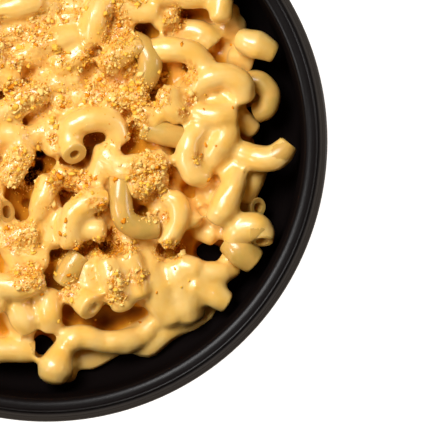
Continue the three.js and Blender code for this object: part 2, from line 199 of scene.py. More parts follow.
# Each elbow is its kind, the radius of its hole, and the points of its centre line: x, y, z
# and radius in mm. "coated" is closed over by sauce at both ends, "dimpled" too, but with a
# dent over the hole, "open" is coated but shows the cut at its last point, and "bare" shows
# the pasta, cut at both ends.
right_side = [
    ("coated", 0, [(36, 49.2, 19, 4.2), (44, 48.4, 19.8, 4.3), (51.5, 47.8, 19.6, 4.2)]),
    ("coated", 0, [(55.8, 54, 17.5, 4.2), (56.7, 48, 20.5, 4.3), (56.9, 41.2, 21.6, 4.2)]),
    ("coated", 0, [(60, 44, 9.5, 3.8), (59, 39, 10.2, 3.8), (58.3, 35.8, 9.5, 3.7)]),
    ("coated", 0, [(60.5, 37.5, 9, 3.6), (62.9, 39.2, 11, 3.5)]),
    ("open", 2.0, [(64.6, 33.4, 17.8, 4.5), (67, 32.6, 19.3, 4.9),
                   (70.2, 31.2, 19.3, 4.6), (74.8, 29.1, 18.5, 3.6)]),
    ("open", 2.2, [(61.5, 27.8, 10.5, 3.7), (64.4, 27.2, 11.5, 3.9), (67.4, 26.3, 11, 3.7)]),
    ("open", 3.4, [(43.5, 36.4, 11, 4), (48.5, 36.6, 12.2, 4.1),
                   (52.2, 34.8, 12.4, 4.3), (54.6, 32.2, 12, 4.5)]),
    ("coated", 0, [(35, 30, 18.5, 4.2), (40, 30.6, 19.5, 4.3), (46, 29.6, 19.5, 4.3),
                   (51, 26, 18.5, 4.3), (53.5, 22, 17.5, 4.1)]),
    ("coated", 0, [(46.5, 14, 17.5, 3.9), (50.3, 19, 19.3, 4.2), (56.8, 21.8, 20.5, 4.3),
                   (62.8, 19.5, 20, 4.4), (64.6, 14.9, 18, 4.2)]),
    ("coated", 0, [(52, 11.5, 15.5, 4), (57, 12.5, 16.5, 4.2), (61, 12, 15.5, 4)]),
    ("bare", 2.0, [(64.5, 19, 11.5, 3.8), (69.5, 19.9, 12.5, 3.8), (73.2, 16, 13, 3.6),
                   (72.3, 11.2, 12.2, 3.6), (69, 9.5, 10.5, 3.6)]),
    ("coated", 0, [(61.5, 9, 9, 3.9), (64.6, 6.6, 9.8, 4), (67.4, 4, 9.2, 3.6)]),
    ("open", 1.9, [(64.5, -3.6, 16.5, 4), (68.5, -5.3, 18.3, 4.5), (73.5, -5.5, 19.5, 4.5),
                   (77.4, -3.4, 20, 4.3), (79.7, -0.7, 20, 3.4)]),
    ("coated", 0, [(50, 4, 18.5, 3.9), (47, 0, 20.3, 4.1), (46.3, -5.5, 20.5, 4.2),
                   (47.8, -10, 19.6, 4.6), (51.2, -11.5, 18.3, 4.3)]),
    ("coated", 0, [(58.8, 5, 18.3, 4.4), (58.2, 1, 18.8, 4.8), (55.6, -3.4, 18, 4.4), (52.6, -7, 16.5, 3.9)]),
    ("coated", 0, [(49.5, 9, 19.3, 3.9), (55.5, 8.2, 20.8, 4.1), (60.5, 8.6, 19.8, 4)]),
    ("coated", 0, [(58.3, -11, 14.5, 3.9), (62, -8.5, 15, 4)]),
    ("coated", 0, [(62.3, -11.5, 17, 3.8), (60.9, -16, 18.8, 4.6),
                   (58.2, -21, 19, 5), (56.6, -25, 17.5, 4.5)]),
    ("open", 2.3, [(61.8, -32.5, 14.5, 4.5), (63.6, -29.6, 16, 5.3), (68, -28.9, 17.5, 5.3),
                   (70.6, -30.6, 17.4, 4.7), (70.8, -33.2, 18.6, 3.9)]),
    ("bare", 2.5, [(59.9, -32.6, 13.6, 4.6), (63.9, -36.3, 14.8, 5.2), (68.2, -39.7, 13.6, 4.5)]),
    ("bare", 1.7, [(64, -21.5, 7.5, 3.1), (67.5, -21.5, 8.7, 3.2), (69.5, -21.8, 11, 3.2)]),
    ("coated", 0, [(69.2, -6, 10, 4.4), (67.6, -12, 10, 4.4), (64.5, -18, 9.5, 4.2)]),
    ("coated", 0, [(55.5, -25, 9.5, 3.6), (54.2, -28, 7.5, 3.4)]),
    ("coated", 0, [(44, -21, 14, 3.6), (48, -26.6, 14.5, 3.5)]),
    ("coated", 0, [(44, -41, 12.5, 4), (49, -42.3, 12.8, 4)]),
    ("coated", 0, [(47, -43, 11.5, 4), (55, -43.4, 12, 4), (60, -43, 10.5, 3), (62.6, -42.7, 9.5, 1.8)]),
    ("open", 2.2, [(48.5, -47.5, 12.5, 4), (54, -50.3, 12, 4), (59, -53.4, 10.5, 3.9)]),
]
middle = [
    ("bare", 2.2, [(27.5, 33.5, 15, 3.6), (31.5, 30.8, 19, 3.9), (33.7, 26.2, 20.3, 4),
                   (32.6, 21, 18.5, 3.9), (29, 17, 15, 3.8)]),
    ("coated", 0, [(19.8, 24.8, 22, 4.1), (22.5, 28, 22.5, 4.2), (27, 30.4, 22.5, 4), (30, 31.5, 22, 3)]),
    ("coated", 0, [(20.5, 48, 19.5, 4.2), (16.6, 43, 21, 4.4), (15.5, 38, 21.2, 4.5), (15, 34, 20.5, 4.2)]),
    ("coated", 0, [(21, 46, 18.5, 4), (28, 43, 18.5, 4), (35, 43.5, 18, 4)]),
    ("coated", 0, [(36.5, 40, 16.5, 4), (41, 41.5, 15, 4)]),
    ("open", 1.7, [(23.6, 1.2, 18.5, 4), (21.6, 6, 20.5, 4.2), (15.8, 7.5, 21.8, 4.3), (9.8, 5.7, 22, 4.3),
                   (7.3, 1.5, 21.8, 4.2), (8.2, -2.8, 22.8, 4.4), (9, -4.5, 24.6, 4.2)]),
    ("coated", 0, [(1.5, 7, 18.5, 4), (2.5, -3, 18, 4)]),
    ("bare", 2.2, [(31, 4.5, 19.5, 3.9), (38.5, 2.6, 20, 4), (44.5, 1.2, 18.5, 3.9)]),
    ("coated", 0, [(40.2, 16.4, 21.3, 3.8), (40.3, 12, 22, 4.1), (43.2, 8.6, 20.5, 3.9)]),
    ("coated", 0, [(48.5, 20.5, 16.5, 3.8), (44.5, 13, 16.5, 3.9)]),
    ("coated", 0, [(20.5, 13.5, 20, 4), (31, 15, 20.5, 4)]),
    ("coated", 0, [(31, 9.5, 20.5, 4), (35.5, 6.5, 20.5, 4)]),
    ("coated", 0, [(19.5, -4, 19, 4), (24, -8.5, 21.5, 4.2), (30, -8, 22, 4.4), (37.5, -6.5, 21.5, 4.3)]),
    ("coated", 0, [(28.5, -15.5, 20.3, 4.2), (36.5, -11, 20.5, 4.3)]),
    ("coated", 0, [(7.6, -33, 19.3, 4.1), (7, -28, 21, 4.4), (9.5, -22.6, 21.5, 4.5),
                   (14.5, -19.6, 21.5, 4.3), (18.3, -19, 20.5, 3.8)]),
    ("coated", 0, [(12, -29, 18, 4), (17.2, -29.2, 18.2, 4.3)]),
    ("bare", 2.2, [(24, -12, 19.5, 3.9), (24, -19.5, 21, 3.9), (25.4, -25.5, 20.5, 3.9),
                   (30, -28.4, 19, 3.9), (36, -28.4, 17, 3.7)]),
    ("coated", 0, [(39.3, -18.6, 17.5, 3.2), (42.8, -20.2, 18.5, 3.7), (43.2, -25.5, 17.8, 3.8),
                   (41, -30, 16.2, 3.8), (38.6, -32.6, 14.5, 3.4)]),
    ("coated", 0, [(19, -3, 18, 4), (16.5, -11.5, 17.5, 4)]),
    ("coated", 0, [(3, -11, 15.5, 4), (12, -13, 15.5, 4)]),
    ("coated", 0, [(0.5, -13, 18.5, 3.8), (-1.5, -18.5, 19, 4), (-3, -23.5, 17.5, 3.9)]),
]
left_side = [
    ("coated", 0, [(-22, 43, 21.5, 4.6), (-12, 44, 22.3, 4.7), (-3.5, 46.6, 21.8, 4.5)]),
    ("coated", 0, [(-16, 35, 18.5, 4), (-8, 36, 18.5, 4.1), (-2, 40, 18, 4), (0.5, 46, 18, 4)]),
    ("coated", 0, [(-5, 32, 20, 3.8), (2, 32.8, 21.2, 4.1), (8.5, 35, 20.5, 4)]),
    ("coated", 0, [(3.5, 24.5, 20, 4.1), (12, 29, 20, 4.1)]),
    ("coated", 0, [(4.5, 39, 18.5, 4), (11.5, 41, 18, 4)]),
    ("coated", 0, [(-11, 27.5, 18.5, 4), (-2, 29, 18.5, 4)]),
    ("coated", 0, [(-18, 25, 21, 4.2), (-12, 19.5, 20.5, 4.3)]),
    ("coated", 0, [(-14, 9.5, 20.8, 4.3), (-8, 13, 21.5, 4.5), (-2.5, 16.5, 20.8, 4.2)]),
    ("coated", 0, [(0, 18, 17.5, 4), (9, 21.5, 18, 4)]),
    ("coated", 0, [(7, 13.5, 17, 4), (16, 16, 17, 4)]),
    ("coated", 0, [(-7.5, -3, 20.5, 4.2), (-13, -12, 20.5, 4.3)]),
    ("coated", 0, [(-19, 4, 19.5, 4), (-9, 1.5, 19.5, 4)]),
    ("open", 2.1, [(-21, -24.5, 13, 4), (-16.5, -23.8, 15, 4.1), (-13.4, -23.2, 18, 3.9)]),
    ("coated", 0, [(-14, -34, 15.5, 4.2), (-9, -30.5, 16.8, 4.3), (-5, -29.6, 17, 4.2)]),
    ("coated", 0, [(-10.5, -36.5, 16.5, 4), (-2, -40, 16, 4)]),
    ("coated", 0, [(-17, -47.5, 18, 4.4), (-9, -47.8, 19, 4.7), (-3.5, -45.8, 18, 4.3)]),
]
front_edge = [
    ("coated", 0, [(27, -38, 16.5, 4), (30.5, -50, 15, 4)]),
    ("coated", 0, [(33, -41, 10.5, 5.8), (36.5, -49, 9.8, 6.5), (41.2, -57.2, 7.4, 6)]),
    ("coated", 0, [(41, -42, 10, 5.8), (45, -49, 9.4, 6.3), (46.2, -57, 7.2, 5.8)]),
    ("coated", 0, [(19.8, -40, 18, 4.2), (22, -46, 18.3, 4.5), (24.8, -53.2, 14.8, 4.4)]),
    ("coated", 0, [(13.5, -41, 15, 4), (14.5, -47, 14.5, 4)]),
    ("bare", 2.2, [(10.5, -37.5, 15.5, 3.9), (7.5, -42, 16, 4), (5, -46.5, 14.5, 3.9)]),
    ("dimpled", 0, [(8.6, -49.4, 13.5, 4.4), (12, -52.1, 15.8, 4.7), (14.8, -54.6, 18.6, 4.8)]),
    ("coated", 0, [(-0.5, -50.5, 14, 4), (0.3, -55.5, 14, 4.3), (0.2, -60.5, 11, 4.2)]),
    ("open", 2.0, [(-10.5, -54.5, 14, 4), (-8.2, -58.5, 13.5, 4.2), (-6.3, -62.3, 11.5, 3.6)]),
    ("open", 2.3, [(-22, -69, 9, 4.3), (-12, -69, 9.5, 4.4), (-4.8, -69.5, 8.8, 4.1)]),
    ("coated", 0, [(1.5, -77.2, 11.5, 5.5), (2.4, -74.6, 11.5, 6), (5.2, -68.6, 9.6, 4.1),
                   (8.5, -65.1, 10.6, 4.4), (13, -64.8, 10.4, 4.2), (17.5, -65.9, 9.6, 3.8)]),
    ("coated", 0, [(4.8, -72.5, 5.8, 5), (4.3, -77.2, 5.6, 5.4)]),
    ("coated", 0, [(17, -65.8, 9.2, 3.8), (21, -66.3, 9.2, 4), (25.7, -66.2, 8.2, 4.3),
                   (30.5, -64.6, 6.4, 4.1), (33.8, -61.2, 5.8, 3.8)]),
]
# these carry the ones above, and show only between them and from the side
underneath = [
    ("coated", 0, [(45, 31, 10, 4), (52, 33, 9, 4)]),
    ("coated", 0, [(48, 46, 6.5, 4), (57, 40, 6, 4)]),
    ("coated", 0, [(63.5, 30.5, 9.5, 3.8), (69, 31.5, 11, 3.8)]),
    ("coated", 0, [(13, 31, 14.5, 3.6), (19, 28.5, 14.5, 3.6)]),
    ("coated", 0, [(24, 22.5, 15, 3.9), (29.5, 25, 15.5, 3.8)]),
    ("coated", 0, [(20.5, 35.5, 16.8, 3.8), (26.5, 36.5, 16.8, 3.6)]),
    ("coated", 0, [(-6.5, 1.5, 17.2, 4), (0.5, 4, 17.5, 4)]),
    ("coated", 0, [(3.5, 13, 17.5, 3.6), (8.5, 11.5, 17.5, 3.6)]),
    ("coated", 0, [(56.5, 27.5, 6, 3.6), (60.5, 33, 6, 3.6)]),
    ("coated", 0, [(60, 14, 10, 4), (68, 20, 8.5, 3.8)]),
    ("coated", 0, [(60, -29, 9.5, 4), (65, -35, 8, 3.8)]),
    ("coated", 0, [(52.3, -14.2, 11.5, 4.2), (54, -19, 11.3, 4.2)]),
    ("coated", 0, [(49.5, -29, 8.2, 3.4), (54.5, -30.8, 9, 3.6)]),
    ("coated", 0, [(57.5, -42, 9.5, 2.8), (60.5, -38, 10, 3)]),
]
# how far out the sauce has run along the front right: degrees from +X, mm from the middle
sauce_edge = [
    (-100, 71.5), (-88, 72.5), (-82.5, 76.5), (-78.5, 77), (-71.5, 74.5), (-69.5, 74), (-68, 76.5), (-66, 79),
    (-63, 79.3), (-59, 78), (-55.6, 77.8), (-52.7, 79), (-47.5, 79.8), (-43, 78), (-38, 73), (-30, 69),
    (0, 66.5),
]
# gaps between the elbows: x, y, radius, height of the bottom
gaps = [
    (52, -36.6, 3.3, -1), (55.2, -36.9, 3.1, -1), (-2, -67.3, 3.3, -1), (47.2, 42, 2.4, 5), (51, 42, 2.4, 5),
    (49, 41.8, 2.4, 5), (-6.5, -11.5, 2.4, 7), (-4, -8, 2.2, 7), (-3, -3.2, 2, 7), (-7.4, -20.4, 1.6, 9),
    (-7, 21.3, 2.2, 9), (10.8, 44.5, 2.2, 9), (1.5, -36.8, 2.2, 8), (31, 36.5, 2.7, 9), (42.8, -12.8, 2.4, 9),
    (18, -35.2, 2.4, 8), (15.3, 1, 2.1, 12.5), (13.5, -3.4, 1.8, 10), (31, -21.8, 1.6, 10),
    (6.6, -56.8, 2.4, 6), (0.8, 11, 2, 12), (59.8, -5, 1.7, 9), (-0.5, -48.3, 2, 9), (47.3, -33, 2.2, 7),
    (46, -15.6, 1.6, 10), (57.5, 31, 3.2, 7),
]
# low places that only thin sauce has run into, where it is also painted in shadow: x, y, radius
troughs = [(13, -60.5, 5), (18, -60.3, 7), (23, -60, 7), (28, -58, 6)]
# where it has run out thick and smooth at the front: x, y, radius, height
swells = [(14.5, -72.5, 4, 5.8), (20, -71, 3, 5.6), (32.5, -66.5, 6, 7.8), (38.5, -63, 6, 7.8)]

seed = 11


def random():
    global seed
    seed = (seed * 16807) % 2147483647
    return seed / 2147483647


def between(low, high):
    return low + (high - low) * random()


# the height of the upper elbows' centres, level in the middle and falling towards the wall
HEAP_TOP, HEAP_FALL, HEAP_FLAT_RADIUS, HEAP_RADIUS = 20.6, 11.5, 38, 76  # mm


def layer_height(radius):
    share = min(1, max(0, (radius - HEAP_FLAT_RADIUS) / (HEAP_RADIUS - HEAP_FLAT_RADIUS)))
    return HEAP_TOP - HEAP_FALL * share * share * (3 - 2 * share)


def shortened(x, y, most):
    length = math.hypot(x, y)
    return (x, y) if length <= most else (x * most / length, y * most / length)


def along_arc(row, radius):
    """Five points of a centre line that turns by `bend` degrees between its two ends."""
    x1, y1, z1, x2, y2, z2, bend, arch = row
    turn = math.radians(bend if abs(bend) >= 1 else 1)
    dx, dy = x2 - x1, y2 - y1
    heading = math.atan2(dy, dx) + turn / 2
    curve = math.hypot(dx, dy) / (2 * math.sin(turn / 2))
    points = []
    for t in (0, 0.25, 0.5, 0.75, 1):
        turned = heading - turn * t
        points.append((
            x1 + curve * (math.sin(heading) - math.sin(turned)),
            y1 - curve * (math.cos(heading) - math.cos(turned)),
            z1 + (z2 - z1) * t + 4 * arch * t * (1 - t),
            radius,
        ))
    return points


# at the left and the back, where none is listed, elbows are strewn by rule
BY_RULE_LEFT_OF, BY_RULE_BEHIND = -18, 50  # mm in X and Y
STREWN_LEFT_OF = -19.2  # mm, for the upper elbows
STREWN, STREWN_REACH, STREWN_APART = 24, 71, 14  # how many, and mm
ELBOW_RADIUS, END_REACH = 4.2, 74  # mm, and how far out their ends may lie

strewn = []
centres = []
while len(strewn) < STREWN:
    reach = STREWN_REACH * math.sqrt(random())
    angle = between(0, 2 * math.pi)
    heading = between(0, 2 * math.pi)
    half = between(7, 9.5)
    bend = (-1 if random() < 0.5 else 1) * between(55, 115)
    tilt = between(-1.5, 1.5)
    x, y = reach * math.cos(angle), reach * math.sin(angle)
    laid_by_hand = x > STREWN_LEFT_OF and y < BY_RULE_BEHIND
    if laid_by_hand or any(math.dist((x, y), c) < STREWN_APART for c in centres):
        continue
    dx, dy = half * math.cos(heading), half * math.sin(heading)
    z = layer_height(reach) + between(-1, 1)
    kind, bore = ("open", 2.2) if random() < 0.25 else ("coated", 0)
    centres.append((x, y))
    start, end = shortened(x - dx, y - dy, END_REACH), shortened(x + dx, y + dy, END_REACH)
    row = (*start, z - tilt, *end, z + tilt, bend, 1)
    strewn.append((kind, bore, along_arc(row, ELBOW_RADIUS)))

# how far out the sauce runs, in mm: further at the front, and less far at the right
PUDDLE_RADIUS, FRONT_RUN, RIGHT_DENT = 74.5, 3.5, 5
FRONT, DENT_WIDTH = -1.75, 0.66  # radians


def puddle_radius(angle):
    run = FRONT_RUN * math.cos(angle - FRONT)
    from_x = math.atan2(math.sin(angle), math.cos(angle))
    return PUDDLE_RADIUS + run - RIGHT_DENT * math.exp(-((from_x / DENT_WIDTH) ** 2))


# low ones along the wall, kept where none is listed
LOW_ELBOWS, LOW_INSET, LOW_BEND = 8, 5.5, 40  # how many, mm, degrees

low_elbows = []
for i in range(LOW_ELBOWS):
    angle = 2 * math.pi * (i + between(0, 0.4)) / LOW_ELBOWS
    turn = between(0.11, 0.14)
    reach = puddle_radius(angle) - LOW_INSET
    a, b = angle - turn, angle + turn
    start = ((reach - 2) * math.cos(a), (reach - 2) * math.sin(a), between(7, 8))
    end = (reach * math.cos(b), reach * math.sin(b), between(7, 8))
    if start[0] < BY_RULE_LEFT_OF or start[1] > BY_RULE_BEHIND:
        low_elbows.append(("coated", 0, along_arc((*start, *end, LOW_BEND, 0), ELBOW_RADIUS)))

# a second layer strewn under the first but for the gaps, half sunk in the sauce
LOWER_LAYER, LOWER_REACH, LOWER_APART, LOWER_RADIUS = 70, 67, 9, 4.1  # how many, and mm
CLEAR_OF_GAP = 5.5  # mm
LOWER_IN_TROUGH = 4.5  # mm

lower_layer = []
centres = []
while len(lower_layer) < LOWER_LAYER:
    reach = LOWER_REACH * math.sqrt(random())
    angle = between(0, 2 * math.pi)
    heading = between(0, math.pi)
    half = between(6, 9)
    bend = between(-90, 90)
    x, y = reach * math.cos(angle), reach * math.sin(angle)
    near_gap = any(math.dist((x, y), gap[:2]) < gap[2] + CLEAR_OF_GAP for gap in gaps)
    if near_gap or any(math.dist((x, y), c) < LOWER_APART for c in centres):
        continue
    dx, dy = half * math.cos(heading), half * math.sin(heading)
    z = layer_height(reach) - between(5.5, 8)
    centres.append((x, y))
    if any(math.dist((x, y), trough[:2]) < trough[2] for trough in troughs):
        z -= LOWER_IN_TROUGH
    row = (x - dx, y - dy, z, x + dx, y + dy, z, bend, 0)
    lower_layer.append(("coated", 0, along_arc(row, LOWER_RADIUS)))

upper_layer = [*right_side, *middle, *left_side, *front_edge, *strewn, *low_elbows]
elbows = [*upper_layer, *underneath, *lower_layer]


def steps_for(points):
    return 5 * (len(points) - 1) + 3


def rings_along(points, steps):
    """Evenly spaced stations on a smooth curve through the points: place, radius, and the
    directions along it, to its side and above it."""
    knots = [Vector(p) for p in points]
    knots = [2 * knots[0] - knots[1], *knots, 2 * knots[-1] - knots[-2]]
    places = []
    spans = len(points) - 1
    for i in range(steps + 1):
        at = i / steps * spans
        k = min(int(at), spans - 1)
        u = at - k
        a, b, c, d = knots[k : k + 4]
        squared = (2 * a - 5 * b + 4 * c - d) * u * u
        cubed = (3 * b - a - 3 * c + d) * u**3
        places.append(0.5 * (2 * b + (c - a) * u + squared + cubed))
    stations = []
    side = None
    for i, place in enumerate(places):
        before, after = places[max(0, i - 1)], places[min(steps, i + 1)]
        along = (after.xyz - before.xyz).normalized()
        if side is None:
            side = Vector((0, 0, 1)).cross(along)
        side = (side - along * side.dot(along)).normalized()
        stations.append((place.xyz, place.w, along, side, along.cross(side)))
    return stations


def uneven(point, size, depth):
    """A gentle unevenness, up to `depth` either way, over about `size` mm."""
    return depth * noise.noise(point / size)


def tube_mesh(profile, sides, roughness):
    """Vertices and faces of a tube. Each ring is a station, its radius, and how far it lies
    past the station along the tube."""
    verts, faces = [], []
    for (centre, _, along, side, above), radius, beyond in profile:
        for i in range(sides):
            a = 2 * math.pi * i / sides
            out = side * math.cos(a) + above * math.sin(a)
            lumps = uneven(centre + out * 4, 7, roughness) + uneven(centre + out * 4, 2.6, 0.35 * roughness)
            r = radius * (1 + (lumps if radius > 1 else 0))
            verts.append(centre + along * beyond + out * r)
    for j in range(len(profile) - 1):
        for i in range(sides):
            k = (i + 1) % sides
            faces.append((j * sides + i, j * sides + k, (j + 1) * sides + k, (j + 1) * sides + i))
    return verts, faces


class MeshPile:
    """Collects the meshes of many like pieces, and makes one object of them."""

    def __init__(self):
        self.verts, self.faces, self.tints = [], [], []

    def add(self, verts, faces, tints=None):
        first = len(self.verts)
        self.verts += verts
        self.faces += [tuple(first + i for i in face) for face in faces]
        self.tints += tints or [0.0] * len(verts)

    def make(self, name):
        mesh = bpy.data.meshes.new(name)
        mesh.from_pydata([v * MM for v in self.verts], [], self.faces)
        layer = mesh.attributes.new("tint", "FLOAT", "POINT")
        layer.data.foreach_set("value", self.tints)
        obj = bpy.data.objects.new(name, mesh)
        bpy.context.scene.collection.objects.link(obj)
        return obj


def close_and_turn_out(obj):
    pick_object(obj)
    bpy.ops.object.mode_set(mode="EDIT")
    bpy.ops.mesh.select_all(action="SELECT")
    bpy.ops.mesh.remove_doubles(threshold=0.00001)
    bpy.ops.mesh.normals_make_consistent(inside=False)
    bpy.ops.object.mode_set(mode="OBJECT")


# ---- Cheese sauce ---------------
# A smooth, thick cheese sauce. It coats the elbows, fills the hollows where they touch, and
# stands between them some millimetres below their centres. It is made too thick by FILLET and
# then taken back by as much, which leaves it rounded in every hollow.

FILLET = 0.75  # mm
ROUND_END = (0.4, 0.8, 1.2, math.pi / 2)  # radians round from the side to the tip
END_LENGTH = 0.65  # of the radius, for an end closed over by sauce
BLUNT_END = 0.3  # of the radius, for a dimpled end
DIMPLE = 0.8  # mm that its middle is sunk in
LIP_ROUND, LIP_SET_BACK = 0.4, 0.3  # mm, at the cut of an open end
HOLE_STATIONS = 7  # how far its hole goes in
COAT_SIDES, COAT_UNEVEN = 16, 0.14


def coat_profile(kind, bore, stations):
    head, tail = stations[0], stations[-1]
    profile = [
        (head, (head[1] + FILLET) * math.cos(a), -END_LENGTH * (head[1] + FILLET) * math.sin(a))
        for a in reversed(ROUND_END)
    ]
    profile += [(s, s[1] + FILLET, 0.0) for s in stations]
    if kind != "open":
        length = BLUNT_END if kind == "dimpled" else END_LENGTH
        rounded = [
            (tail, (tail[1] + FILLET) * math.cos(a), length * (tail[1] + FILLET) * math.sin(a))
            for a in ROUND_END
        ]
        if kind == "dimpled":
            rounded[-1] = (tail, 0.0, -DIMPLE)
        return profile + rounded
    hole = (bore + tail[1]) / 2 - FILLET
    lip = FILLET - LIP_SET_BACK
    profile += [(tail, tail[1] + FILLET - LIP_ROUND, lip), (tail, hole, lip)]
    profile += [(s, hole, 0.0) for s in reversed(stations[-HOLE_STATIONS:-1])]
    return profile + [(stations[-HOLE_STATIONS], 0.0, 0.0)]


coats = MeshPile()
for kind, bore, points in elbows:
    if kind != "bare":
        stations = rings_along(points, steps_for(points))
        coats.add(*tube_mesh(coat_profile(kind, bore, stations), COAT_SIDES, COAT_UNEVEN))
coat = coats.make("sauce_coat")

# the height of the elbows' centre lines, blurred, on a grid over the bowl
GRID_REACH, GRID_CELL, BLUR = 96.0, 1.5, 5.0  # mm
centre_lines = np.array([s[0] for row in upper_layer for s in rings_along(row[2], 8)])
ticks = np.arange(-GRID_REACH, GRID_REACH + GRID_CELL, GRID_CELL)
grid_x, grid_y = np.meshgrid(ticks, ticks)
apart = (grid_x[..., None] - centre_lines[:, 0]) ** 2 + (grid_y[..., None] - centre_lines[:, 1]) ** 2
weights = np.exp(-apart / (2 * BLUR**2)) + 1e-9
levels = (weights * centre_lines[:, 2]).sum(axis=2) / weights.sum(axis=2)


def level_at(x, y):
    u, v = (x + GRID_REACH) / GRID_CELL, (y + GRID_REACH) / GRID_CELL
    i, j = u.astype(int), v.astype(int)
    u, v = u - i, v - j
    near = levels[j, i] * (1 - u) + levels[j, i + 1] * u
    far = levels[j + 1, i] * (1 - u) + levels[j + 1, i + 1] * u
    return near * (1 - v) + far * v


# the mound of sauce that the elbows lie in
SPOKES, RINGS = 160, 80
SAUCE_BELOW = 6.3  # mm from the elbows' centres down to the sauce between them
POOL_LEAST, POOL_EDGE = 4.6, 3.7  # mm, the least height of the sauce, and that of its edge
MOUND_EDGE = 0.93  # of the way out, where it starts to fall to the floor
MOUND_INSET = 3  # mm, from the sauce's edge to the mound's, where it is strewn by rule
WAVE_LENGTH, WAVE_DEPTH = 9, 2.0  # mm, of its unevenness
SWELL_SLOPE = 0.75  # mm that a swell falls for each mm outside its radius
GAP_FLAT, GAP_SLOPE, GAP_RIM = 0.7, 0.9, 1.6  # of a gap's radius: its bottom, its side, its rim
MOUND_LEAST, MOUND_BOTTOM = 1.0, -3.0  # mm
edge_angles, edge_reaches = zip(*sauce_edge)


def mound_reach(angle):
    degrees = math.degrees(math.atan2(math.sin(angle), math.cos(angle)))
    if edge_angles[0] <= degrees <= edge_angles[-1]:
        return float(np.interp(degrees, edge_angles, edge_reaches))
    return puddle_radius(angle) - MOUND_INSET


mound_verts = []
for j in range(RINGS + 1):
    share = j / RINGS
    for i in range(SPOKES):
        a = 2 * math.pi * i / SPOKES
        reach = mound_reach(a) * share + FILLET
        x, y = reach * math.cos(a), reach * math.sin(a)
        top = float(level_at(np.array(x), np.array(y))) - SAUCE_BELOW
        top = max(top + uneven(Vector((x, y, 0)), WAVE_LENGTH, WAVE_DEPTH), POOL_LEAST) + FILLET
        for sx, sy, swell_radius, height in swells:
            outside = max(0, math.dist((x, y), (sx, sy)) - swell_radius)
            top = max(top, height + FILLET - SWELL_SLOPE * outside)
        if share > MOUND_EDGE:
            fall = (share - MOUND_EDGE) / (1 - MOUND_EDGE)
            edge = POOL_EDGE + FILLET
            top = edge + (top - edge) * math.sqrt(max(0, 1 - fall**2))
        for gx, gy, gr, bottom in gaps:
            d = math.dist((x, y), (gx, gy)) / (gr - FILLET) + uneven(Vector((x, y, 9)), 2, 0.3)
            if d < GAP_RIM:
                low = max(0.5, bottom)
                top = min(top, low + (top - low) * max(0, (d - GAP_FLAT) / GAP_SLOPE))
        mound_verts.append(Vector((x, y, max(top, MOUND_LEAST))))
top_faces = [tuple(range(SPOKES))]
for j in range(RINGS):
    for i in range(SPOKES):
        k = (i + 1) % SPOKES
        top_faces.append((j * SPOKES + i, (j + 1) * SPOKES + i, (j + 1) * SPOKES + k, j * SPOKES + k))
count = len(mound_verts)
mound_faces = top_faces + [tuple(count + i for i in reversed(f)) for f in top_faces]
for i in range(SPOKES):
    k = (i + 1) % SPOKES
    a, b = RINGS * SPOKES + i, RINGS * SPOKES + k
    mound_faces.append((a, count + a, count + b, b))
mounds = MeshPile()
mounds.add(mound_verts + [Vector((v.x, v.y, MOUND_BOTTOM)) for v in mound_verts], mound_faces)
mound = mounds.make("sauce_mound")

pick_object(mound)
coat.select_set(True)
bpy.context.view_layer.objects.active = coat
bpy.ops.object.join()
sauce = coat
sauce.name = "cheese_sauce"
close_and_turn_out(sauce)


def apply_modifier(obj, kind, **settings):
    pick_object(obj)
    modifier = obj.modifiers.new(kind.title(), kind)
    for key, value in settings.items():
        setattr(modifier, key, value)
    bpy.ops.object.modifier_apply(modifier=modifier.name)


VOXEL = 0.00062  # metres
apply_modifier(sauce, "REMESH", mode="VOXEL", voxel_size=VOXEL, use_smooth_shade=True)
apply_modifier(sauce, "SMOOTH", factor=0.5, iterations=2)
apply_modifier(sauce, "DISPLACE", direction="NORMAL", mid_level=0.0, strength=-FILLET * MM)
apply_modifier(sauce, "SMOOTH", factor=0.5, iterations=4)
# its underside is cut flat, just clear of the bowl's floor
UNDERSIDE = 0.0025  # metres
pick_object(sauce)
bpy.ops.object.mode_set(mode="EDIT")
bpy.ops.mesh.select_all(action="SELECT")
bpy.ops.mesh.bisect(
    plane_co=(0, 0, UNDERSIDE), plane_no=(0, 0, 1), use_fill=True, clear_inner=True, threshold=0.00001,
)
bpy.ops.object.mode_set(mode="OBJECT")
MOST_TRIANGLES = 190000
triangles = sum(len(face.vertices) - 2 for face in sauce.data.polygons)
if triangles > MOST_TRIANGLES:
    apply_modifier(sauce, "DECIMATE", ratio=MOST_TRIANGLES / triangles)
bpy.ops.object.shade_smooth()

# how deep each point lies below the elbows around it, from 0 on them to 1 in the deepest gaps,
# and below 0 where the sauce has run out thin over the bowl's floor; above 0 it sets the painted shade
places = np.empty(len(sauce.data.vertices) * 3)
sauce.data.vertices.foreach_get("co", places)
x, y, z = places.reshape(-1, 3).T / MM
HEAP_ENDS, HEAP_BAND = 71, 4  # mm from the middle, and mm over which it passes into run-out sauce
DEPTH_FROM, DEPTH_SPAN = 1.5, 11  # mm below the elbows' centres, and mm from there to the deepest
TROUGH_SHADOW, TROUGH_BAND = 0.6, 1.3  # how much deeper it counts, and how far out, of its radius
THIN_BELOW, THIN_BAND = 7.5, 2.5  # mm
inside = np.clip((HEAP_ENDS - np.hypot(x, y)) / HEAP_BAND, 0, 1)
# painted shadow: the sauce in the troughs counts as lying deeper, so that it is painted darker, as in the
# shadow of the elbows around it
trough_shadow = np.zeros(len(x))
for trough_x, trough_y, trough_radius in troughs:
    off = np.hypot(x - trough_x, y - trough_y) / trough_radius
    trough_shadow = np.maximum(trough_shadow, np.clip(TROUGH_BAND - off, 0, 1))
depths = (level_at(x, y) - DEPTH_FROM - z) / DEPTH_SPAN * (1 + TROUGH_SHADOW * trough_shadow)
depths = np.clip(depths, 0, 1) * inside
depths -= (1 - inside) * np.clip((THIN_BELOW - z) / THIN_BAND, 0, 1)
depth_layer = sauce.data.attributes.new("depth", "FLOAT", "POINT")
depth_layer.data.foreach_set("value", depths)

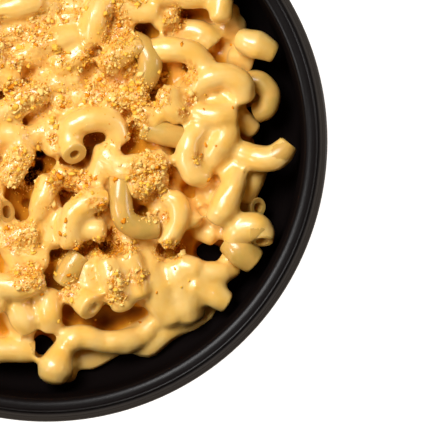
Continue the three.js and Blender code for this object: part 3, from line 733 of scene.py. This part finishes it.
# The sauce is golden and creamier in patches, with soft lumps, and lets the light in a little.
PATCHES, GRAINS, LUMPS = 150.0, 620.0, 240.0  # to the metre, so about 7, 1.6 and 4 mm apart

cheese, tree = new_material("cheese_sauce_smooth")
depth = add_node(tree, "ShaderNodeAttribute", {"attribute_name": "depth"}).outputs["Fac"]
cream = ramp(tree, noise_over(tree, PATCHES, 3.0), 0.3, 0.7)
smooth_sauce = mix_colours(tree, cream, "#fdc75e", "#ffd582")
# run out thin, it is paler
thin = ramp(tree, depth, -1.0, 0.0, 1.0, 0.0)
smooth_sauce = mix_colours(tree, thin, smooth_sauce, "#ffd078")
# where fine crumbs have sunk in, it is cream and golden by turns, in grains of a millimetre or two
sunk = add_node(tree, "ShaderNodeAttribute", {"attribute_name": "crumbed"}).outputs["Fac"]
grains = noise_over(tree, GRAINS, 2.5)
grainy = mix_colours(tree, ramp(tree, grains, 0.4, 0.62), "#fbcd70", "#e08e14")
colour = mix_colours(tree, sunk, smooth_sauce, grainy)
# painted shade: the deeper between the elbows, the darker the painted colour: golden, then brown, then nearly
# black
for start, end, tone in ((0.02, 0.22, "#e39e28"), (0.22, 0.5, "#b46e12"), (0.5, 0.88, "#431a04")):
    colour = mix_colours(tree, ramp(tree, depth, start, end), colour, tone)
# the sauce is wet on the elbows, and no light reaches it to shine in the gaps
DRY_DEPTH = 0.3
wet = ramp(tree, depth, 0.0, DRY_DEPTH, 1.0, 0.0)
dull = ramp(tree, depth, 0.0, DRY_DEPTH, 0.42, 0.85)
shine = ramp(tree, depth, 0.0, DRY_DEPTH, 0.6, 0.1)
lumps = noise_over(tree, LUMPS, 4.0)
bump = add_node(tree, "ShaderNodeBump", {"Strength": 0.25, "Distance": 0.0009}, {"Height": lumps})
bump = add_node(
    tree, "ShaderNodeBump", {"Distance": 0.0008},
    {"Strength": sunk, "Height": grains, "Normal": bump.outputs["Normal"]},
)
wear(
    sauce, cheese,
    {"IOR": 1.45, "Subsurface Weight": 0.4, "Subsurface Radius": (1.0, 0.88, 0.7),
     "Subsurface Scale": 0.0013, "Coat Roughness": 0.21},
    {"Base Color": colour, "Roughness": dull, "Coat Weight": wet, "Specular IOR Level": shine,
     "Normal": bump.outputs["Normal"]},
)
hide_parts("macaroni_heap")
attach(sauce, "root")


# ---- Bare pasta and cut ends ----
# The elbows that aren't coated, and the cut ends of the open ones. The pasta is a hollow tube
# with a wall of about 2 mm, translucent and faintly yellow, with a thin film of sauce.
UNDER_COAT = 0.25  # mm that the skin of a coated one lies under the sauce
EDGE_ROUND, HOLE_ROUND = 0.25, 0.15  # mm, at the cuts
PASTA_SIDES, PASTA_UNEVEN = 22, 0.05

tubes = MeshPile()
for kind, bore, points in elbows:
    if bore == 0:
        continue
    steps = steps_for(points)
    stations = rings_along(points, steps)
    if kind == "open":
        stations = stations[steps // 2 :]
    skin_off = UNDER_COAT if kind == "open" else 0.0
    first, last = stations[0], stations[-1]
    head, tail = first[1] - skin_off, last[1] - skin_off
    outer = [(s, s[1] - skin_off, 0.0) for s in stations[1:-1]]
    inner = [(s, bore, 0.0) for s in reversed(stations[1:-1])]
    profile = [(first, bore, HOLE_ROUND), (first, head - EDGE_ROUND, 0.0), (first, head, EDGE_ROUND), *outer]
    profile += [(last, tail, -EDGE_ROUND), (last, tail - EDGE_ROUND, 0.0), (last, bore, -HOLE_ROUND), *inner]
    profile += [(first, bore, HOLE_ROUND)]
    verts, faces = tube_mesh(profile, PASTA_SIDES, PASTA_UNEVEN)
    tubes.add(verts, faces, [1.0 if kind == "open" else 0.0] * len(verts))
pasta = tubes.make("macaroni_bare")
close_and_turn_out(pasta)
bpy.ops.object.shade_smooth_by_angle(angle=math.radians(50))

# The pasta is warmer under a film of sauce: in patches on the bare ones, all over on the others.
FILM_PATCHES, WRINKLES = 160.0, 420.0  # to the metre, so about 6 and 2.4 mm apart

durum, tree = new_material("durum_pasta_cooked")
coated = add_node(tree, "ShaderNodeAttribute", {"attribute_name": "tint"}).outputs["Fac"]
film = ramp(tree, noise_over(tree, FILM_PATCHES, 3.0), 0.42, 0.62)
both = add_node(tree, "ShaderNodeMath", {"operation": "MAXIMUM"}, {0: coated, 1: film})
colour = mix_colours(tree, both.outputs["Value"], "#ceaa56", "#deb25c")
wrinkles = noise_over(tree, WRINKLES, 3.0)
bump = add_node(tree, "ShaderNodeBump", {"Strength": 0.35, "Distance": 0.0005}, {"Height": wrinkles})
wear(
    pasta, durum,
    {"Roughness": 0.34, "IOR": 1.42, "Subsurface Weight": 0.4, "Subsurface Radius": (1.0, 0.85, 0.6),
     "Subsurface Scale": 0.0015, "Coat Weight": 0.5, "Coat Roughness": 0.15},
    {"Base Color": colour, "Normal": bump.outputs["Normal"]},
)
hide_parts("macaroni_heap")
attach(pasta, "root")


# ---- Toasted crumbs -------------
# Coarse bread crumbs toasted in butter, strewn over the top in loose drifts: most are pale, some
# golden, a few orange brown. They lie on the sauce and on each other, and stick where they fell.

# Each drift is x, y, half its width and height in mm, crumbs per square mm, and the shares of
# them that are golden and orange brown.
drifts = [
    (-7.5, 15.5, 8, 5.5, 1.5, 0.25, 0.05), (-9, -9.5, 6.5, 8, 1.5, 0.3, 0.05),
    (27, 14, 7.5, 5.5, 1.5, 0.3, 0.1), (34, -11.5, 7.5, 8.5, 1.6, 0.25, 0.08),
    (16, 16, 4.5, 4.5, 1.3, 0.3, 0.1), (29.5, 6, 4, 6.5, 1.2, 0.3, 0.1),
    (35, 15, 5.5, 4.5, 1.3, 0.35, 0.2), (33.5, -25, 3, 2.5, 1.4, 0.1, 0), (23, -46, 3.5, 3.5, 1.2, 0.2, 0.05),
    (20, 25.5, 4.5, 4, 1.2, 0.3, 0.05), (-10.5, 27, 3, 3.5, 1.2, 0.2, 0.05),
    (29.5, 21.5, 5, 6, 1.2, 0.55, 0.2), (7, -13.5, 7.5, 5, 1.3, 0.5, 0.25),
    (46.5, 22, 3, 4.5, 0.9, 0.6, 0.2), (38.5, 22.5, 2, 2, 1, 0.5, 0.2),
    (42, 40.5, 4, 5, 0.9, 0.55, 0.15), (22.5, 36.5, 5.5, 8, 1, 0.45, 0.15), (4.5, 28.5, 2, 3, 1, 0.4, 0.2),
    (4.5, 41, 2, 3.5, 1, 0.4, 0.2), (-2.5, 37.5, 4, 7, 1.1, 0.45, 0.1), (-8, 35.5, 5.5, 3, 1, 0.3, 0.1),
    (16.5, -22, 4, 3.5, 1.2, 0.5, 0.25), (19, -35, 11.5, 3.5, 1.2, 0.45, 0.15),
    (4, -37.5, 2.5, 3, 1, 0.4, 0.1), (-9, -32, 6.5, 5.5, 1.3, 0.4, 0.1),
    (-6, -44.5, 6.5, 5, 1.3, 0.4, 0.25), (6.5, -48.5, 4, 5, 1.1, 0.35, 0.1),
    (22.5, -51.5, 4, 3, 1, 0.4, 0.15), (30, -44.5, 3.5, 3, 1, 0.4, 0.1), (40, -36, 5.5, 3.5, 1.1, 0.4, 0.2),
    (47, 14, 2.2, 3.2, 1, 0.5, 0.2), (44.5, 9.5, 2, 1.8, 1, 0.4, 0.1), (49.5, -6, 2, 2.5, 0.8, 0.5, 0.4),
    (39, -25, 1.5, 2.3, 1.2, 0.5, 0.4), (22, -31, 1.5, 2.5, 1.2, 0.1, 0),
    (29.5, 33, 3.5, 7.5, 0.35, 0.4, 0.1), (13, 27.5, 2.3, 2.8, 1.8, 0.3, 0.6),
    (-13, 17.5, 2, 2, 1.5, 0.3, 0.6), (10, 42.5, 2, 2, 1.5, 0.3, 0.6),
    (23, 45, 2, 2, 1.5, 0.3, 0.6), (1.7, 0.5, 2, 2, 1.5, 0.3, 0.6), (36, -9.5, 1.5, 1.5, 1.5, 0.3, 0.6),
    (-5, -43.5, 2, 2, 1.5, 0.3, 0.6), (5, -13, 1.8, 1.8, 1.5, 0.3, 0.6), (12, -1, 22, 46, 0.12, 0.4, 0.15),
    (4, 22, 22, 26, 0.3, 0.45, 0.15), (22, 20, 20, 16, 0.2, 0.5, 0.15), (5.5, 12.5, 3, 2.5, 1.2, 0.5, 0.15),
]
# where hardly any stay, on the smooth backs of elbows: x, y, half the width and height
smooth_backs = [
    (-12, 45, 10, 4), (15, 38.5, 4, 6), (7.5, 34.5, 4.5, 5), (33.5, 27, 4, 6.5), (15, 7.8, 10.5, 3.8),
    (7.2, 2, 3.8, 6), (9, -5.2, 4, 4), (24.2, -18, 3.6, 6.5), (41, 1.5, 5, 3.5), (12, -27, 5, 6),
    (38, 31, 8, 4), (23, 4, 3.5, 4),
]
# single crumbs away from the drifts: x, y, radius
lone_crumbs = [
    (44.3, 32, 1.1), (22.5, -12.5, 1.5), (52, 15.5, 0.8), (51.5, 10.5, 0.7), (61, 11, 0.7), (60.5, 32, 0.7),
    (52, -1, 0.8), (55.5, -1.5, 0.6), (25.5, 1.5, 0.8), (3.5, -59.5, 1), (8.5, -57, 0.6), (-2, -50.5, 0.7),
    (15.5, -59, 0.7), (30.5, -60, 0.8), (27, -60, 0.6), (53, -12.5, 0.8), (42, -42, 0.8), (36, -50, 0.7),
    (44, -48, 0.7), (31, -46, 0.8), (46.5, -46, 0.6),
]
# over the rest of the heap they have drifted by chance
CHANCE_DRIFTS, DRIFT_REACH = 75, 67  # how many are tried, and mm
for i in range(CHANCE_DRIFTS):
    reach, angle = DRIFT_REACH * math.sqrt(random()), between(0, 2 * math.pi)
    drift = (
        reach * math.cos(angle), reach * math.sin(angle), between(3, 8), between(3, 7),
        between(0.8, 1.5), between(0.25, 0.5), between(0.05, 0.25),
    )
    if drift[0] < BY_RULE_LEFT_OF or drift[1] > BY_RULE_BEHIND:
        drifts.append(drift)

# the finest have sunk in, and roughen the sauce in and around each drift
SUNK, SUNK_SIZE = 1.1, 1.4  # mm, how far and how closely they stand out
spots = places.reshape(-1, 3) / MM
crumbed = np.zeros(len(spots))
for x, y, half_width, half_height, density, *_ in drifts:
    off = ((spots[:, 0] - x) / half_width) ** 2 + ((spots[:, 1] - y) / half_height) ** 2
    crumbed = np.maximum(crumbed, min(1, density) * np.clip(1.5 - off, 0, 1))
for x, y, half_width, half_height in smooth_backs:
    off = ((spots[:, 0] - x) / half_width) ** 2 + ((spots[:, 1] - y) / half_height) ** 2
    crumbed *= np.clip(0.1 + 2 * (off - 0.7), 0.1, 1)
sauce.data.attributes.new("crumbed", "FLOAT", "POINT").data.foreach_set("value", crumbed)
outwards = np.empty(len(places))
sauce.data.vertices.foreach_get("normal", outwards)
rough = np.array([
    noise.noise(Vector(spot) / SUNK_SIZE) + 0.5 * noise.noise(Vector(spot) * 2 / SUNK_SIZE) if c > 0.05 else 0
    for spot, c in zip(spots, crumbed)
])
spots += outwards.reshape(-1, 3) * (SUNK * crumbed * rough)[:, None]
sauce.data.vertices.foreach_set("co", spots.ravel() * MM)
sauce.data.update()


def ball_mesh(subdivisions):
    bpy.ops.mesh.primitive_ico_sphere_add(subdivisions=subdivisions, radius=1, location=(0, 0, 0))
    ball = bpy.context.object
    shape = [v.co.copy() for v in ball.data.vertices], [tuple(face.vertices) for face in ball.data.polygons]
    bpy.data.objects.remove(ball)
    return shape


small_ball, large_ball = ball_mesh(1), ball_mesh(2)

depsgraph = bpy.context.evaluated_depsgraph_get()
surfaces = [BVHTree.FromObject(obj, depsgraph) for obj in (sauce, pasta)]
crumbs = {"pale": MeshPile(), "golden": MeshPile(), "orange": MeshPile()}
piled = {}
PILE_MOST = 1.6  # mm that the crumbs lie on each other
PILE_CELL, PILE_STEP = 0.7, 0.6  # mm across, and what each crumb adds, of its radius
LARGE = 0.8  # mm, the radius from which a crumb has the finer ball's ragged shape
FALL_FROM = 60  # mm
LOWEST = 0.005  # metres, below which none is left lying
STEEP, SLIDE_OFF = 0.3, 0.7  # the upward share of a steep slope, and the chance to slide off it
STUCK_IN = 0.2  # of its radius
RAGGED, RAGGED_WAVES = 0.9, 2.3


def drop_crumb(x, y, radius, colour):
    """Lets a crumb fall onto what is under it, which is sauce, pasta or other crumbs."""
    hits = [surface.ray_cast(Vector((x, y, FALL_FROM)) * MM, Vector((0, 0, -1))) for surface in surfaces]
    hits = [hit for hit in hits if hit[0] is not None]
    if not hits:
        return
    spot, normal = max(hits, key=lambda hit: hit[0].z)[:2]
    if spot.z < LOWEST or normal.z < STEEP and random() < SLIDE_OFF:
        return
    cell = (round(x / PILE_CELL), round(y / PILE_CELL))
    below = piled.get(cell, 0.0)
    piled[cell] = min(PILE_MOST, below + PILE_STEP * radius)
    turn = Euler([between(0, 2 * math.pi) for _ in range(3)]).to_matrix()
    stretch = Vector((between(0.7, 1.4), between(0.6, 1.1), between(0.45, 0.9)))
    centre = Vector((x, y, spot.z / MM + below - STUCK_IN * radius))
    offset = Vector([between(0, 50) for _ in range(3)])
    shape, faces = large_ball if radius > LARGE else small_ball
    offsets = [
        turn @ (v * (1 + RAGGED * noise.noise(v * RAGGED_WAVES + offset)) * stretch) for v in shape
    ]
    # painted shade: browner underneath, and in the hollows between the elbows, on top of a random toasting
    level_here = float(level_at(np.array(x), np.array(y)))
    shade_in_hollow = max(0.0, level_here - DEPTH_FROM - spot.z / MM) / DEPTH_SPAN
    toast_and_shade = 0.5 + 0.4 * (random() - 0.5) + 1.2 * shade_in_hollow
    crumbs[colour].add([centre + v * radius for v in offsets], faces, [toast_and_shade - 0.6 * v.z for v in offsets])


THICKER = 2.0  # times the crumbs per square mm, as many fall where they don't stay
LARGE_SHARE, OFF_SMOOTH = 0.05, 0.93  # the share of large ones, and of those gone from smooth backs
CLUMP_SIZE, CLUMP_LEAST = 2.2, -0.25  # mm, and the unevenness below which none lie
CRUMBS_REACH = 72  # mm from the middle
for x, y, half_width, half_height, density, golden, orange in drifts:
    for i in range(int(4 * half_width * half_height * density * THICKER)):
        dx, dy = between(-1, 1), between(-1, 1)
        cx, cy = x + dx * half_width, y + dy * half_height
        ragged = noise.noise(Vector((cx, cy, 0)) / CLUMP_SIZE)
        chance = random()
        size = between(0.7, 1.2) if random() < LARGE_SHARE else between(0.2, 0.45)
        outside = dx * dx + dy * dy > 1 + 0.7 * ragged
        if outside or ragged < CLUMP_LEAST or math.hypot(cx, cy) > CRUMBS_REACH:
            continue
        if random() < OFF_SMOOTH and any(
            ((cx - sx) / sw) ** 2 + ((cy - sy) / sh) ** 2 < 1 for sx, sy, sw, sh in smooth_backs
        ):
            continue
        colour = "orange" if chance < 0.6 * orange else "golden" if chance < orange + golden else "pale"
        drop_crumb(cx, cy, size, colour)
for x, y, radius in lone_crumbs:
    drop_crumb(x, y, radius, "orange" if random() < 0.5 else "golden")

# Toasted bread is dull. Each crumb has painted shade, lighter on top and darker below, and a grainy crust.
crumb_colours = {
    "pale": ("#ffe08a", "#eea838"), "golden": ("#fccb52", "#dc9418"), "orange": ("#ee9a20", "#ac5802"),
}
CRUST = 900.0  # to the metre, so about 1 mm apart
for colour, pile in crumbs.items():
    piece = pile.make("crumbs_" + colour)
    close_and_turn_out(piece)
    bpy.ops.object.shade_smooth()
    bread, tree = new_material("breadcrumb_toasted_" + colour)
    light_tone, dark_tone = crumb_colours[colour]
    tone = add_node(tree, "ShaderNodeAttribute", {"attribute_name": "tint"}).outputs["Fac"]
    crust = noise_over(tree, CRUST, 3.0)
    mixed = add_node(tree, "ShaderNodeMath", {"operation": "MULTIPLY_ADD", 1: 0.6}, {0: crust, 2: tone})
    shade = mix_colours(tree, ramp(tree, mixed.outputs["Value"], 0.3, 1.3), light_tone, dark_tone)
    bump = add_node(tree, "ShaderNodeBump", {"Strength": 0.5, "Distance": 0.0003}, {"Height": crust})
    wear(
        piece, bread, {"Roughness": 0.75, "Specular IOR Level": 0.1},
        {"Base Color": shade, "Normal": bump.outputs["Normal"]},
    )
    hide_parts("macaroni_heap")
    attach(piece, "root")


# ---- Floor, light ---------------
# The bowl stands on a plain white sweep that shines evenly. A large softbox hangs high at the
# upper left, and two weak ones at the left and right draw the lines of light along the rim.
FLOOR_SIZE = 40  # metres, so that its edge is never in view
bpy.ops.mesh.primitive_plane_add(size=FLOOR_SIZE, location=(0, 0, 0))
floor = bpy.context.object
floor.name = "white_table"
# the sweep is dull white, and bright enough by itself to show no shadow
white, _ = new_material("white_sweep")
wear(
    floor, white,
    {"Base Color": (0.9, 0.9, 0.9, 1), "Roughness": 0.8, "Emission Color": (1, 1, 1, 1),
     "Emission Strength": 1.0},
)

world = bpy.data.worlds.new("studio")
bpy.context.scene.world = world
world.use_nodes = True
world.node_tree.nodes["Background"].inputs["Color"].default_value = linear("#ffc66e")
world.node_tree.nodes["Background"].inputs["Strength"].default_value = 0.28
world.cycles_visibility.glossy = False


def softbox(name, azimuth, off_zenith, distance, size, power):
    """A square softbox that faces the bowl. Degrees from +X and from overhead, metres, watts."""
    a, e = math.radians(azimuth), math.radians(off_zenith)
    direction = Vector((math.sin(e) * math.cos(a), math.sin(e) * math.sin(a), math.cos(e)))
    bpy.ops.object.light_add(type="AREA", location=direction * distance + Vector((*VIEW_CENTRE, 0)))
    light = bpy.context.object
    light.name = name
    light.rotation_euler = direction.to_track_quat("Z", "Y").to_euler()
    light.data.shape = "SQUARE"
    light.data.size = size
    light.data.energy = power


softbox("key_softbox", azimuth=135, off_zenith=33, distance=2.4, size=1.0, power=56)
softbox("left_strip", azimuth=197, off_zenith=52, distance=1.2, size=0.3, power=3.2)
softbox("right_strip", azimuth=5, off_zenith=66, distance=1.2, size=0.4, power=3.2)

bpy.context.scene.view_settings.view_transform = "Standard"
